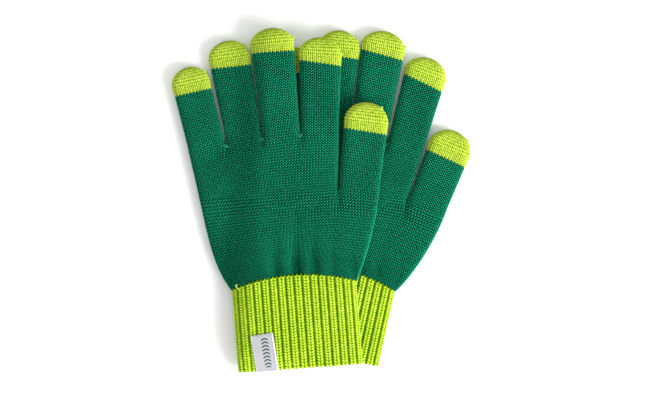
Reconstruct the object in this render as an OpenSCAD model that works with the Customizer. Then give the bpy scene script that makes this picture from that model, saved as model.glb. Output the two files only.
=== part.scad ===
// A pair of knitted touchscreen gloves lying flat, the left one on top of the right one.
// Origin: on the table, under the middle of the pair. +Z up, +Y towards the fingertips,
// +X towards the thumbs. Millimetres.

/* [Fabric] */
// Height of a glove lying flat, both layers and the space between them
glove_t = 8; // [6.5:0.1:10]
// Thickness of one knitted layer
wall = 1.7; // [1.2:0.1:2]
// Slit between two neighbouring fingers
finger_gap = 1.2; // [1:0.1:2]
// Clearance between a finger and the hand it hinges on
hinge_gap = 0.3; // [0.2:0.05:0.6]
// Clearance between the upper glove and the lower glove
lie_gap = 0.4; // [0.3:0.05:1]

/* [Cuff] */
// Width of the cuff lying flat
cuff_w = 78.5; // [65:0.5:95]
// Length of the left cuff along its sides, as it lies
left_cuff_len = 50.5; // [30:0.5:60]
// Length of the right cuff along its sides, as it lies
right_cuff_len = 47; // [30:0.5:60]
// Rise of the edge between cuff and hand at its middle
cuff_bow = 6.8; // [0:0.1:9]
// Width of one elastic yarn band inside the cuff
elastic_w = 3; // [2:0.1:4]
// Thickness of the elastic yarn
elastic_t = 0.8; // [0.4:0.05:1]

/* [Thumb] */
// Width where it leaves the hand
thumb_w = 25.6; // [20:0.1:30]
// Width at the coloured tip
thumb_end_w = 27; // [20:0.1:33]
// Length from the hand to the coloured tip
thumb_len = 37; // [30:0.5:50]
// Length of the coloured tip
thumb_tip_len = 18; // [15:0.5:22]

/* [Index finger] */
// Width where it leaves the hand
index_w = 23.7; // [20:0.1:28]
// Width at the coloured tip
index_end_w = 25.5; // [20:0.1:31]
// Length from the hand to the coloured tip
index_len = 43; // [35:0.5:55]
// Length of the coloured tip
index_tip_len = 16; // [12:0.5:20]

/* [Middle finger] */
// Width where it leaves the hand
middle_w = 24; // [20:0.1:28]
// Width at the coloured tip
middle_end_w = 26.8; // [20:0.1:31]
// Length from the hand to the coloured tip
middle_len = 51.5; // [42:0.5:62]
// Length of the coloured tip
middle_tip_len = 14.8; // [12:0.1:20]

/* [Ring finger] */
// Width where it leaves the hand
ring_w = 23.2; // [19:0.1:28]
// Width at the coloured tip
ring_end_w = 24.8; // [19:0.1:30]
// Length from the hand to the coloured tip
ring_len = 46.5; // [38:0.5:56]
// Length of the coloured tip
ring_tip_len = 16.5; // [12:0.5:20]

/* [Little finger] */
// Width where it leaves the hand
little_w = 24; // [19:0.1:28]
// Width at the coloured tip
little_end_w = 23; // [18:0.1:28]
// Length from the hand to the coloured tip
little_len = 36; // [30:0.5:44]
// Length of the coloured tip
little_tip_len = 16; // [12:0.5:19]

/* [Label] */
// Width of the woven label
label_w = 14; // [10:0.5:20]
// Height of the label's outer leg
label_len = 20.5; // [14:0.5:26]
// Height of the leg folded inside the cuff
label_inner_len = 8; // [5:0.5:12]
// Thickness of the label
label_t = 0.4; // [0.3:0.05:0.6]
// Distance from the label to the side of the cuff
label_inset = 11; // [6:0.5:40]

/* [Trim] */
// Size of the knot that closes a fingertip
knot_r = 1.2; // [0.8:0.1:1.6]
// Thickness of the yarn tacks in the finger crotches
tack_w = 1.4; // [1:0.1:2]

/* [Lay] */
// Left cuff: middle of its upper edge
left_cuff_at = [-17.1, -52.96]; // [-60:0.01:60]
// Right cuff: middle of its upper edge
right_cuff_at = [7.8, -48.56]; // [-60:0.01:60]
// Turn of the left cuff
left_turn = 4.5; // [0:0.5:8]
// Turn of the right cuff
right_turn = -12.4; // [-16:0.1:-8]
// Width over which the upper glove climbs onto the lower one
climb_w = 24; // [18:1:34]

/* [Hidden] */

green = "#0f6e55";
lime = "#a4d12a";
silver = "#c9ccd0";
r = glove_t / 2;                     // side radius of every flattened tube
rho_in = r - wall;                   // the same, inside
rho_elastic = rho_in + elastic_t;    // outside of the elastic yarn, let into the cuff wall
hand_cols = 14;                      // columns across a hand or cuff
finger_cols = 4;                     // columns across a finger
arc_steps = 3;                       // points on each rounded side
dome_start = 0.3;                    // share of a tip's length before its dome starts
dome_angles = [0, 15, 34, 52, 70, 82];
tip_puff = 0.4;                      // a tip is this much wider than its finger

// thumb, index, middle, ring, little: width, end width, length, tip length
sizes = [
    [thumb_w, thumb_end_w, thumb_len, thumb_tip_len],
    [index_w, index_end_w, index_len, index_tip_len],
    [middle_w, middle_end_w, middle_len, middle_tip_len],
    [ring_w, ring_end_w, ring_len, ring_tip_len],
    [little_w, little_end_w, little_len, little_tip_len]];

// One glove's lay: cuff place, cuff turn, knuckle point and thumb crotch from the cuff,
// turns of the five fingers, outward angles of the two sides above the cuff, lifted or not,
// which fingers are hinged, how far each finger is stretched, and the length of the cuff
left_lay = [left_cuff_at, left_turn, [11.7, 94], [31.8, 57], [-6.2, 0, 6.2, 10.2, 14],
    [35, 27], true, [true, true, true, true, true], [1.02, 1, 1, 1, 1], left_cuff_len];
right_lay = [right_cuff_at, right_turn, [13.8, 89.8], [33.8, 57.2], [-21.5, -15.5, -9.5, -6, -2],
    [34, 36], false, [true, true, false, false, false], [0.89, 0.96, 1.025, 1.03, 1],
    right_cuff_len];

// plan directions: along a piece that is turned by a, and across it to the right
function along(a) = [-sin(a), cos(a)];
function across(a) = [cos(a), sin(a)];
function mix(p, q, f) = p * (1 - f) + q * f;
function step01(x) = let (c = min(1, max(0, x))) c * c * (3 - 2 * c);
function bezier(p, q, s, t, f) =
    p * pow(1 - f, 3) + q * 3 * f * pow(1 - f, 2) + s * 3 * f * f * (1 - f) + t * pow(f, 3);

// How far the upper glove is lifted: it lies on the table left of the lower glove and
// below its hem, and climbs onto it
full_lift = glove_t + lie_gap;
side_flat = 2;                              // stays level this far past the lower side
hem_flat = 6;                               // and this far past the lower hem
function side_out(p) = let (a = corner(right_lay, -1, 0), b = on_finger(right_lay, 4, 0, 1))
    mix(a, b, (p[1] - a[1]) / (b[1] - a[1]))[0] - p[0];
function hem_out(p) = (corner(right_lay, 1, 0) - p) * along(right_turn);
function lift(p, up) = !up ? 0 : full_lift * step01(1 - (side_out(p) - side_flat) / climb_w)
    * step01(1 - (hem_out(p) - hem_flat) / climb_w);

// Corners of a cuff: side -1 or 1, f = 0 at the hem and 1 at the hand
function corner(g, side, f) =
    g[0] + across(g[1]) * side * cuff_w / 2 - along(g[1]) * g[9] * (1 - f);
function from_cuff(g, q) = g[0] + across(g[1]) * q[0] + along(g[1]) * q[1];
function knuckle(g) = from_cuff(g, g[2]);
function crotch(g) = from_cuff(g, g[3]);
function turn(g, i) = g[4][i];

// Right and left ends of a finger's base line, chained outwards from the knuckle point
function base_right(g, i) =
    i == 0 ? crotch(g) + across(turn(g, 0)) * thumb_w
    : i == 1 ? knuckle(g) + across(turn(g, 1)) * index_w
    : i == 2 ? knuckle(g) : base_left(g, i - 1);
function base_left(g, i) =
    i == 0 ? crotch(g) : i == 1 ? knuckle(g)
    : base_right(g, i) - across(turn(g, i)) * sizes[i][0];
function base_mid(g, i) = (base_left(g, i) + base_right(g, i)) / 2;

// Sides of the hand
left_handles = [22, 45];
right_handles = [14, 20];
split = 0.75;                               // where the left side passes the thumb crotch
function side_left(g, f) = let (p = corner(g, -1, 1), q = base_left(g, 4))
    bezier(p, p + along(g[1] + g[5][0]) * left_handles[0],
        q - along(turn(g, 4)) * left_handles[1], q, f);
function side_right(g, f) = let (p = corner(g, 1, 1), q = base_right(g, 0))
    bezier(p, p + along(g[1] - g[5][1]) * right_handles[0],
        q - along(turn(g, 0)) * right_handles[1], q, f);

// A point at share s of a line through several points
function seg_len(line, i) = norm(line[i + 1] - line[i]);
function line_len(line, i = 0) = i >= len(line) - 1 ? 0 : seg_len(line, i) + line_len(line, i + 1);
function at_len(line, d, i = 0) = i >= len(line) - 2 || d <= seg_len(line, i)
    ? mix(line[i], line[i + 1], d / seg_len(line, i)) : at_len(line, d - seg_len(line, i), i + 1);
function at_share(line, s) = at_len(line, s * line_len(line));

function thumb_line(g) = [side_left(g, split), crotch(g), base_right(g, 0)];
function finger_line(g) = [base_left(g, 4), base_left(g, 3), base_left(g, 2), knuckle(g),
    base_right(g, 1)];
function bow(g, s) = along(g[1]) * cuff_bow * 4 * s * (1 - s);

// Plan point of each section: s across from the left side, f along towards the fingers
function on_cuff(g, s, f) = mix(corner(g, -1, f), corner(g, 1, f), s) + bow(g, s) * f;
function on_lower_hand(g, s, f) = let (a = side_left(g, split * f), b = side_right(g, f))
    mix(a, b, s) + bow(g, s) * (1 - f)
    + (at_share(thumb_line(g), s) - mix(side_left(g, split), base_right(g, 0), s)) * f;
function on_upper_hand(g, s, f) =
    let (a = side_left(g, mix(split, 1, f)), b = mix(crotch(g), base_right(g, 1), f))
    mix(a, b, s)
    + (at_share(finger_line(g), s) - mix(base_left(g, 4), base_right(g, 1), s)) * f;
function finger_len(g, i) = sizes[i][2] * g[8][i];
function finger_width(i, f) = mix(sizes[i][0] - finger_gap, sizes[i][1], f);
function on_finger(g, i, s, f) = let (a = turn(g, i), slack = g[7][i] ? hinge_gap : 0)
    base_mid(g, i) + along(a) * mix(slack, finger_len(g, i), f)
    + across(a) * (s - 0.5) * finger_width(i, f);

// Share across and height of the points of a flattened tube, counter-clockwise from its left
function ring(w, rr, rho, cols) = concat(
    [for (i = [0:cols]) [(rr + (w - 2 * rr) * i / cols) / w, rr - rho]],
    [for (k = [1:arc_steps]) let (a = -90 + 180 * k / (arc_steps + 1))
        [1 - (rr - rho * cos(a)) / w, rr + rho * sin(a)]],
    [for (i = [cols:-1:0]) [(rr + (w - 2 * rr) * i / cols) / w, rr + rho]],
    [for (k = [1:arc_steps]) let (a = 90 - 180 * k / (arc_steps + 1))
        [(rr - rho * cos(a)) / w, rr + rho * sin(a)]]);

// A ring of space points, lifted where the upper glove climbs
function placed(p, z, up) = [p[0], p[1], z + lift(p, up)];

function quads(a, b, n, flip) = [for (k = [0:n - 1]) let (m = (k + 1) % n)
    each flip ? [[a + k, b + k, b + m], [a + k, b + m, a + m]]
              : [[a + k, b + m, b + k], [a + k, a + m, b + m]]];

// A hollow tube with open ends from rings of points outside and inside
module tube(outer, inner) {
    n = len(outer[0]);
    no = len(outer);
    ni = len(inner);
    points = [for (row = outer) each row, for (row = inner) each row];
    faces = concat(
        [for (j = [0:no - 2]) each quads(j * n, (j + 1) * n, n, false)],
        [for (j = [0:ni - 2]) each quads((no + j) * n, (no + j + 1) * n, n, true)],
        quads(no * n, 0, n, false),
        quads((no - 1) * n, (no + ni - 1) * n, n, false));
    polyhedron(points, faces, convexity = 6);
}

// A hollow cup, open at its first ring, closed by a point outside and a point inside
module cup(outer, inner, peak, pit) {
    n = len(outer[0]);
    no = len(outer);
    points = [for (row = outer) each row, for (row = inner) each row, peak, pit];
    top = 2 * no * n;
    faces = concat(
        [for (j = [0:no - 2]) each quads(j * n, (j + 1) * n, n, false)],
        [for (j = [0:no - 2]) each quads((no + j) * n, (no + j + 1) * n, n, true)],
        quads(no * n, 0, n, false),
        [for (k = [0:n - 1]) [(no - 1) * n + k, (no - 1) * n + (k + 1) % n, top]],
        [for (k = [0:n - 1]) [(2 * no - 1) * n + (k + 1) % n, (2 * no - 1) * n + k, top + 1]]);
    polyhedron(points, faces, convexity = 6);
}

function cuff_ring(g, f, rho) = [for (q = ring(cuff_w, r, rho, hand_cols))
    placed(on_cuff(g, q[0], f), q[1], g[6])];

// Shares of the cuff's length where the elastic bands start and end
function bands(g) = [for (c = [0.22, 0.5, 0.78]) [c - elastic_w / g[9] / 2, c + elastic_w / g[9] / 2]];

// Shares of the cuff's length with a ring of points: a lifted cuff bends, the other is straight
function cuff_rows(g) = let (b = bands(g)) g[6]
    ? [0, 0.1, b[0][0], b[0][1], 0.36, b[1][0], b[1][1], 0.64, b[2][0], b[2][1], 1] : [0, 1];
function between(g, a, b) = [for (f = cuff_rows(g)) if (f > a && f < b) cuff_ring(g, f, rho_in)];

module cuff(g) {
    b = bands(g);
    inner = concat([cuff_ring(g, 0, rho_in)],
        [for (k = [0:2]) each concat(between(g, k == 0 ? 0 : b[k - 1][1], b[k][0]),
            [cuff_ring(g, b[k][0], rho_in), cuff_ring(g, b[k][0], rho_elastic),
            cuff_ring(g, b[k][1], rho_elastic), cuff_ring(g, b[k][1], rho_in)])],
        between(g, b[2][1], 1), [cuff_ring(g, 1, rho_in)]);
    color(lime) tube([for (f = cuff_rows(g)) cuff_ring(g, f, r)], inner);
}

// Three bands of elastic yarn, laid into the inside of the cuff
module cuff_elastic(g) {
    color("ivory") for (b = bands(g))
        tube([for (f = b) cuff_ring(g, f, rho_elastic)], [for (f = b) cuff_ring(g, f, rho_in)]);
}

function lower_ring(g, f, rho) = let (w = norm(side_right(g, f) - side_left(g, split * f)))
    [for (q = ring(w, r, rho, hand_cols)) placed(on_lower_hand(g, q[0], f), q[1], g[6])];
function upper_ring(g, f, rho) =
    let (w = norm(on_upper_hand(g, 1, f) - on_upper_hand(g, 0, f)))
    [for (q = ring(w, r, rho, hand_cols)) placed(on_upper_hand(g, q[0], f), q[1], g[6])];

// The five-finger part of the hand, from the cuff to the thumb crotch
module lower_hand(g) {
    rows = [0, 0.08, 0.2, 0.4, 0.6, 0.8, 1];
    color(green) tube([for (f = rows) lower_ring(g, f, r)], [for (f = rows) lower_ring(g, f, rho_in)]);
}

// The four-finger part, from the thumb crotch to the fingers
module upper_hand(g) {
    rows = [0, 0.25, 0.5, 0.75, 1];
    color(green) tube([for (f = rows) upper_ring(g, f, r)], [for (f = rows) upper_ring(g, f, rho_in)]);
}

module finger(g, i) {
    rows = g[6] ? [0, 0.33, 0.67, 1] : [0, 1];
    function finger_ring(f, rho) = [for (q = ring(finger_width(i, f), r, rho, finger_cols))
        placed(on_finger(g, i, q[0], f), q[1], g[6])];
    color(green) tube([for (f = rows) finger_ring(f, r)], [for (f = rows) finger_ring(f, rho_in)]);
}

// Plan point on a fingertip: d beyond the finger's end, c across
function on_tip(g, i, d, c) =
    base_mid(g, i) + along(turn(g, i)) * (finger_len(g, i) + d) + across(turn(g, i)) * c;

// One ring of a tip's dome at angle a, shrunk by inset on every side
function dome_ring(g, i, a, inset) = let (
    size = sizes[i],
    w = 2 * ((size[1] / 2 + tip_puff * min(1, a)) - inset) * cos(a),
    d = size[3] * dome_start + (size[3] * (1 - dome_start) - inset) * sin(a),
    rr = (r - inset) * sqrt(cos(a)))
    [for (q = ring(w, rr, rr, finger_cols))
        placed(on_tip(g, i, d, (q[0] - 0.5) * w), q[1] - rr + r, g[6])];
function tip_foot(g, i, inset) = let (w = sizes[i][1])
    [for (q = ring(w, r, r - inset, finger_cols)) placed(on_tip(g, i, 0, (q[0] - 0.5) * w), q[1], g[6])];

module tip(g, i) {
    end = sizes[i][3];
    peak = on_tip(g, i, end, 0);
    pit = on_tip(g, i, end - wall, 0);
    color(lime) cup(
        concat([tip_foot(g, i, 0)], [for (a = dome_angles) dome_ring(g, i, a, 0)]),
        concat([tip_foot(g, i, wall)], [for (a = dome_angles) dome_ring(g, i, a, wall)]),
        placed(peak, r, g[6]), placed(pit, r, g[6]));
}

// The knot that closes the knitting, at the right shoulder of the tip
knot_angles = [dome_angles[3], dome_angles[0], dome_angles[1], dome_angles[2], dome_angles[2]];
knot_gap = 0.06;                     // between the knot and the knit
module knot(g, i) {
    a = knot_angles[i];
    half_w = sizes[i][1] / 2 + tip_puff * min(1, a);
    dome = sizes[i][3] * (1 - dome_start);
    normal = [cos(a) / half_w, sin(a) / dome];
    out = normal / norm(normal) * (knot_r + knot_gap);
    p = on_tip(g, i, sizes[i][3] * dome_start + dome * sin(a) + out[1], half_w * cos(a) + out[0]);
    color(lime) translate(placed(p, r, g[6])) sphere(knot_r, $fn = 16);
}

// Yarn tacks that join the two layers between the fingers, just inside the hand
tack_gap = 0.3;                      // between a tack and either layer
module crotch_tacks(g) {
    at = [base_left(g, 1), base_left(g, 2), base_left(g, 3)];
    color("ivory") for (p = at) {
        q = p - along(turn(g, 2)) * (tack_w + 0.4);
        square = [for (c = [[-1, -1], [1, -1], [1, 1], [-1, 1]]) q + c * tack_w / 2];
        low = [for (c = square) placed(c, wall + tack_gap, g[6])];
        high = [for (c = square) placed(c, glove_t - wall - tack_gap, g[6])];
        polyhedron(concat(low, high), [[0, 1, 2], [0, 2, 3], [4, 6, 5], [4, 7, 6], [0, 5, 1],
            [0, 4, 5], [1, 6, 2], [1, 5, 6], [2, 7, 3], [2, 6, 7], [3, 4, 0], [3, 7, 4]]);
    }
}

// Lift of the left cuff's own facets, so that what is sewn to it follows them
function cell(steps, x, i = 0) = i >= len(steps) - 2 || x <= steps[i + 1] ? i : cell(steps, x, i + 1);
cuff_columns = [for (i = [0:hand_cols]) (r + (cuff_w - 2 * r) * i / hand_cols) / cuff_w];
function row_lift(s, f) = let (i = cell(cuff_columns, s), a = cuff_columns[i], b = cuff_columns[i + 1],
    g = left_lay) mix(lift(on_cuff(g, a, f), true), lift(on_cuff(g, b, f), true), (s - a) / (b - a));
function cuff_lift(s, f) = let (rows = cuff_rows(left_lay), j = cell(rows, max(f, 0)))
    mix(row_lift(s, rows[j]), row_lift(s, rows[j + 1]), (max(f, 0) - rows[j]) / (rows[j + 1] - rows[j]));

// Where sewn pieces have points: at the cuff's own rows up to d from its hem, and at its
// columns between two shares of its width
function steps(d) = concat([for (f = cuff_rows(left_lay)) if (f > 0 && f * left_cuff_len < d - 0.5)
    f * left_cuff_len], [d]);
function columns(s0, s1) = concat([s0], [for (c = cuff_columns) if (c > s0 + 0.005 && c < s1 - 0.005) c],
    [s1]);
function level(list, z) = [for (d = list) [d, z]];
function back(list) = [for (i = [len(list) - 1:-1:0]) list[i]];

// A strip that follows the left cuff: outside and inside lines of [distance from the hem, height]
module strip(outside, inside, s0, s1) {
    profile = concat(outside, inside);
    n = len(profile);
    at = columns(s0, s1);
    rows = [for (s = at) [for (q = profile)
        let (f = q[0] / left_cuff_len, p = on_cuff(left_lay, s, f)) [p[0], p[1], q[1] + cuff_lift(s, f)]]];
    last = (len(at) - 1) * n;
    half = n / 2;
    caps = [for (k = [0:half - 2]) each [[k, k + 1, n - 1 - k], [k + 1, n - 2 - k, n - 1 - k]]];
    polyhedron([for (row = rows) each row], concat(
        [for (i = [0:len(at) - 2]) each quads(i * n, (i + 1) * n, n, true)],
        caps,
        [for (c = caps) [c[2], c[1], c[0]] + [last, last, last]]), convexity = 4);
}

label_from = label_inset / cuff_w;
label_to = (label_inset + label_w) / cuff_w;
label_slack = 0.25;                  // between the label and the knit
label_low = glove_t + label_slack;
label_high = label_low + label_t;

// A satin label folded round the hem of the upper layer
module label() {
    in_high = glove_t - wall - label_slack;
    in_low = in_high - label_t;
    hem_in = -label_slack;
    hem_out = hem_in - label_t;
    color(silver) strip(
        concat(level(back(steps(label_len)), label_high), [[hem_out, label_high], [hem_out, in_low]],
            level(steps(label_inner_len), in_low)),
        concat(level(back(steps(label_inner_len)), in_high), [[hem_in, in_high], [hem_in, label_low]],
            level(steps(label_len), label_low)), label_from, label_to);
}

// Sewing thread along the two sides of the label
thread_w = 0.6;
thread_t = 0.3;
thread_slack = 0.25;                 // between the thread and the label
module label_thread() {
    line = concat([1], steps(label_len - 1));
    low = label_high + thread_slack;
    edge = 0.8 / cuff_w;
    width = thread_w / cuff_w;
    color("dimgray") for (s = [label_from + edge, label_to - edge - width])
        strip(level(back(line), low + thread_t), level(line, low), s, s + width);
}

cuff(left_lay);  // left_cuff
cuff_elastic(left_lay);  // left_cuff_elastic
lower_hand(left_lay);  // left_lower_hand
upper_hand(left_lay);  // left_upper_hand
crotch_tacks(left_lay);  // left_crotch_tacks
finger(left_lay, 0);  // left_thumb
finger(left_lay, 1);  // left_index_finger
finger(left_lay, 2);  // left_middle_finger
finger(left_lay, 3);  // left_ring_finger
finger(left_lay, 4);  // left_little_finger
tip(left_lay, 0);  // left_thumb_tip
tip(left_lay, 1);  // left_index_tip
tip(left_lay, 2);  // left_middle_tip
tip(left_lay, 3);  // left_ring_tip
tip(left_lay, 4);  // left_little_tip
knot(left_lay, 0);  // left_thumb_knot
knot(left_lay, 1);  // left_index_knot
knot(left_lay, 2);  // left_middle_knot
knot(left_lay, 3);  // left_ring_knot
knot(left_lay, 4);  // left_little_knot
label();  // left_label
label_thread();  // left_label_thread
cuff(right_lay);  // right_cuff
cuff_elastic(right_lay);  // right_cuff_elastic
lower_hand(right_lay);  // right_lower_hand
upper_hand(right_lay);  // right_upper_hand
crotch_tacks(right_lay);  // right_crotch_tacks
finger(right_lay, 0);  // right_thumb
finger(right_lay, 1);  // right_index_finger
finger(right_lay, 2);  // right_middle_finger
finger(right_lay, 3);  // right_ring_finger
finger(right_lay, 4);  // right_little_finger
tip(right_lay, 0);  // right_thumb_tip
tip(right_lay, 1);  // right_index_tip
tip(right_lay, 2);  // right_middle_tip
tip(right_lay, 3);  // right_ring_tip
tip(right_lay, 4);  // right_little_tip
knot(right_lay, 0);  // right_thumb_knot
knot(right_lay, 1);  // right_index_knot
knot(right_lay, 2);  // right_middle_knot
knot(right_lay, 3);  // right_ring_knot
knot(right_lay, 4);  // right_little_knot
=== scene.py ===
# A pair of knitted touchscreen gloves, laid fanned on a pale table.
# Plan places are complex numbers in millimetres: real is +X, imaginary is +Y.
import math

import bmesh
import bpy
import numpy as np
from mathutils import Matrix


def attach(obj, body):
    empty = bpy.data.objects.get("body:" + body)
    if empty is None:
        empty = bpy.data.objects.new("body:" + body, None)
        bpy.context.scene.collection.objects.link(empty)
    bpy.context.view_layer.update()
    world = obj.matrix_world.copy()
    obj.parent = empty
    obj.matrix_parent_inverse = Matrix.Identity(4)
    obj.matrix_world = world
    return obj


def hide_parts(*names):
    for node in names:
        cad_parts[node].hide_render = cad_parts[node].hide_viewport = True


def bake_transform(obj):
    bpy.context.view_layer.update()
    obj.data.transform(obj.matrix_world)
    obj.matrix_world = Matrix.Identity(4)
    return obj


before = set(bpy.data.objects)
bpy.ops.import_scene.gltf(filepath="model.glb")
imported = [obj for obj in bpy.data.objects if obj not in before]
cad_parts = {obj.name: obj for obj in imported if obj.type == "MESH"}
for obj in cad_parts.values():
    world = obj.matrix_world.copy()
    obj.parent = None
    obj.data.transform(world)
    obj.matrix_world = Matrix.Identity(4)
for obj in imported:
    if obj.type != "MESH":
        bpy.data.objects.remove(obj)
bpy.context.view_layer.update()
print("frame loaded")

fabric = {
    "layer": 8.0,        # height of a glove lying flat
    "wall": 1.7,         # one layer of knit
    "softEdge": 5.5,     # width over which a side rounds off
    "fingerGap": 0.5,    # soft fingers lie closer than their hinged sleeves
    "lieGap": 0.4,       # between the upper and the lower glove
    "course": 1.6,       # height of one row of stitches
    "relief": 0.6,       # how deep the hollows between stitches are
    "zigzag": 0.55,      # slant of a stitch's legs, in courses
    "stagger": 0.24,     # offset of its two legs, in courses
}
radius = fabric["layer"] / 2
mm = 0.001

fingerNames = ["thumb", "index", "middle", "ring", "little"]
fingers = {              # widths, lengths and stitches across a face; every glove has the same
    "thumb": {"width": 25.6, "endWidth": 27, "length": 37, "tip": 18, "wales": 13},
    "index": {"width": 23.7, "endWidth": 26.3, "length": 43, "tip": 16, "wales": 12},
    "middle": {"width": 24, "endWidth": 27.3, "length": 51.5, "tip": 14.8, "wales": 12},
    "ring": {"width": 23.2, "endWidth": 25.9, "length": 46.5, "tip": 16.5, "wales": 12},
    "little": {"width": 24, "endWidth": 23.9, "length": 36, "tip": 16, "wales": 12},
}
gloves = {               # lists run from the thumb to the little finger; turns and slants are in degrees
    "left": {
        "cuffAt": -17.1 - 52.96j, "cuffTurn": 4.5, "cuffLength": 50.5,
        "knuckle": 11.7 + 94j, "crotch": 31.8 + 57j, "turns": [-6.2, 0, 6.2, 10.2, 14],
        "flare": [35, 27], "lifted": True, "stretch": [1.02, 1, 1, 1, 1],
        "hinged": fingerNames, "handCourses": (34, 22), "slant": [-3.2, -8.3, -2.5, -4.4, -1.5],
    },
    "right": {
        "cuffAt": 7.8 - 48.56j, "cuffTurn": -12.4, "cuffLength": 47,
        "knuckle": 13.8 + 89.8j, "crotch": 33.8 + 57.2j, "turns": [-21.5, -15.5, -9.5, -6, -2],
        "flare": [34, 36], "lifted": False, "stretch": [0.89, 0.96, 1.025, 1.03, 1],
        "hinged": fingerNames[:2], "handCourses": (33, 20), "slant": [-3.4, -10.4, -6.2, -1, -1.5],
    },
}
cuffShape = {
    "width": 78.5, "bow": 6.8, "ribs": 16, "course": 1.55, "ribDepth": 0.8, "relief": 0.45,
    "edgeFlat": 11,      # the ribs lie flatter this near the left side
}
lay = {
    "climb": 24, "sideFlat": 2, "hemFlat": 6,     # how the upper glove climbs onto the lower one
    "leftHandles": [22, 45], "rightHandles": [14, 20],
    "split": 0.75,       # share of the hand's left side that belongs to the lower hand
    "wales": 48, "lowerLength": 54, "upperLength": 38,
    "rootBend": 13,      # length of knit at a finger's root
}
tipShape = {"domeStart": 0.3, "puff": 0.4, "course": 1.35, "relief": 0.75}


def across(turn):
    return np.exp(1j * math.radians(turn))


def along(turn):
    return 1j * across(turn)


def mix(a, b, f):
    return a * (1 - f) + b * f


def ease(x):
    x = np.clip(x, 0, 1)
    return x * x * (3 - 2 * x)


def dot(p, q):
    return (p * np.conj(q)).real


def bezier(p, q, s, t, f):
    return p * (1 - f) ** 3 + 3 * q * f * (1 - f) ** 2 + 3 * s * f * f * (1 - f) + t * f ** 3


def cuffCorner(g, side, f):
    edge = across(g["cuffTurn"]) * side * cuffShape["width"] / 2
    return g["cuffAt"] + edge - along(g["cuffTurn"]) * g["cuffLength"] * (1 - f)


def fromCuff(g, place):
    return g["cuffAt"] + across(g["cuffTurn"]) * place.real + along(g["cuffTurn"]) * place.imag


def baseRight(g, i):     # right end of a finger's base line
    width = fingers[fingerNames[i]]["width"]
    if i == 0:
        return fromCuff(g, g["crotch"]) + across(g["turns"][0]) * width
    if i == 1:
        return fromCuff(g, g["knuckle"]) + across(g["turns"][1]) * width
    return fromCuff(g, g["knuckle"]) if i == 2 else baseLeft(g, i - 1)


def baseLeft(g, i):
    if i < 2:
        return fromCuff(g, g["crotch"] if i == 0 else g["knuckle"])
    return baseRight(g, i) - across(g["turns"][i]) * fingers[fingerNames[i]]["width"]


def baseMiddle(g, i):
    return (baseLeft(g, i) + baseRight(g, i)) / 2


def handLeft(g, f):      # the hand's left side, from the cuff to the little finger
    p, q, h = cuffCorner(g, -1, 1), baseLeft(g, 4), lay["leftHandles"]
    return bezier(p, p + along(g["cuffTurn"] + g["flare"][0]) * h[0], q - along(g["turns"][4]) * h[1], q, f)


def handRight(g, f):     # the right side, from the cuff to the thumb
    p, q, h = cuffCorner(g, 1, 1), baseRight(g, 0), lay["rightHandles"]
    return bezier(p, p + along(g["cuffTurn"] - g["flare"][1]) * h[0], q - along(g["turns"][0]) * h[1], q, f)


def onLine(points, share):
    points = np.array(points)
    length = np.concatenate([[0], np.cumsum(np.abs(np.diff(points)))])
    d = share * length[-1]
    # past either end the first and last stretches simply carry on
    first, last = (points[1] - points[0]) / length[1], (points[-1] - points[-2]) / (length[-1] - length[-2])
    inside = np.interp(d, length, points.real) + 1j * np.interp(d, length, points.imag)
    return inside + first * np.minimum(d, 0) + last * np.maximum(d - length[-1], 0)


def thumbLine(g):
    return [handLeft(g, lay["split"]), fromCuff(g, g["crotch"]), baseRight(g, 0)]


def fingerLine(g):
    return [baseLeft(g, 4), baseLeft(g, 3), baseLeft(g, 2), fromCuff(g, g["knuckle"]), baseRight(g, 1)]


def bow(g, s):
    return along(g["cuffTurn"]) * cuffShape["bow"] * 4 * s * (1 - s)


def onCuff(g, s, f):
    return mix(cuffCorner(g, -1, f), cuffCorner(g, 1, f), s) + bow(g, s) * f


def onLowerHand(g, s, f):
    start, end = handLeft(g, lay["split"]), baseRight(g, 0)
    sides = mix(handLeft(g, lay["split"] * f), handRight(g, f), s)
    return sides + bow(g, s) * (1 - f) + (onLine(thumbLine(g), s) - mix(start, end, s)) * f


def onUpperHand(g, s, f):
    sides = mix(handLeft(g, mix(lay["split"], 1, f)), mix(fromCuff(g, g["crotch"]), baseRight(g, 1), f), s)
    return sides + (onLine(fingerLine(g), s) - mix(baseLeft(g, 4), baseRight(g, 1), s)) * f


def fingerLength(g, i):
    return fingers[fingerNames[i]]["length"] * g["stretch"][i]


def fingerWidth(g, i, f):    # full width at the very base, where it grows out of the hand
    size = fingers[fingerNames[i]]
    slit = fabric["fingerGap"] * ease(f * fingerLength(g, i) / 5) * (1 - np.clip(f, 0, 1))
    return mix(size["width"], size["endWidth"], f) - slit


def onFinger(g, i, s, f):
    a, n = g["turns"][i], fingerLength(g, i)
    c = (s - 0.5) * fingerWidth(g, i, f)
    slant = math.tan(math.radians(g["slant"][i])) * c * np.clip(f, 0, 1) ** 2
    return baseMiddle(g, i) + along(a) * (n * f + slant) + across(a) * c


def liftOf(p, g):        # the upper glove lies on the table past the lower one's side and hem
    if not g["lifted"]:
        return np.zeros(np.shape(p))
    lower = gloves["right"]
    a = cuffCorner(lower, -1, 0)
    b = baseMiddle(lower, 4) + along(lower["turns"][4]) * fingerLength(lower, 4)
    b = b - across(lower["turns"][4]) * fingers["little"]["endWidth"] / 2
    sideOut = a.real + (b - a).real * (p.imag - a.imag) / (b - a).imag - p.real
    hemOut = dot(cuffCorner(lower, 1, 0) - p, along(lower["cuffTurn"]))
    full = fabric["layer"] + fabric["lieGap"]
    side = ease(1 - (sideOut - lay["sideFlat"]) / lay["climb"])
    return full * side * ease(1 - (hemOut - lay["hemFlat"]) / lay["climb"])


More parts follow.
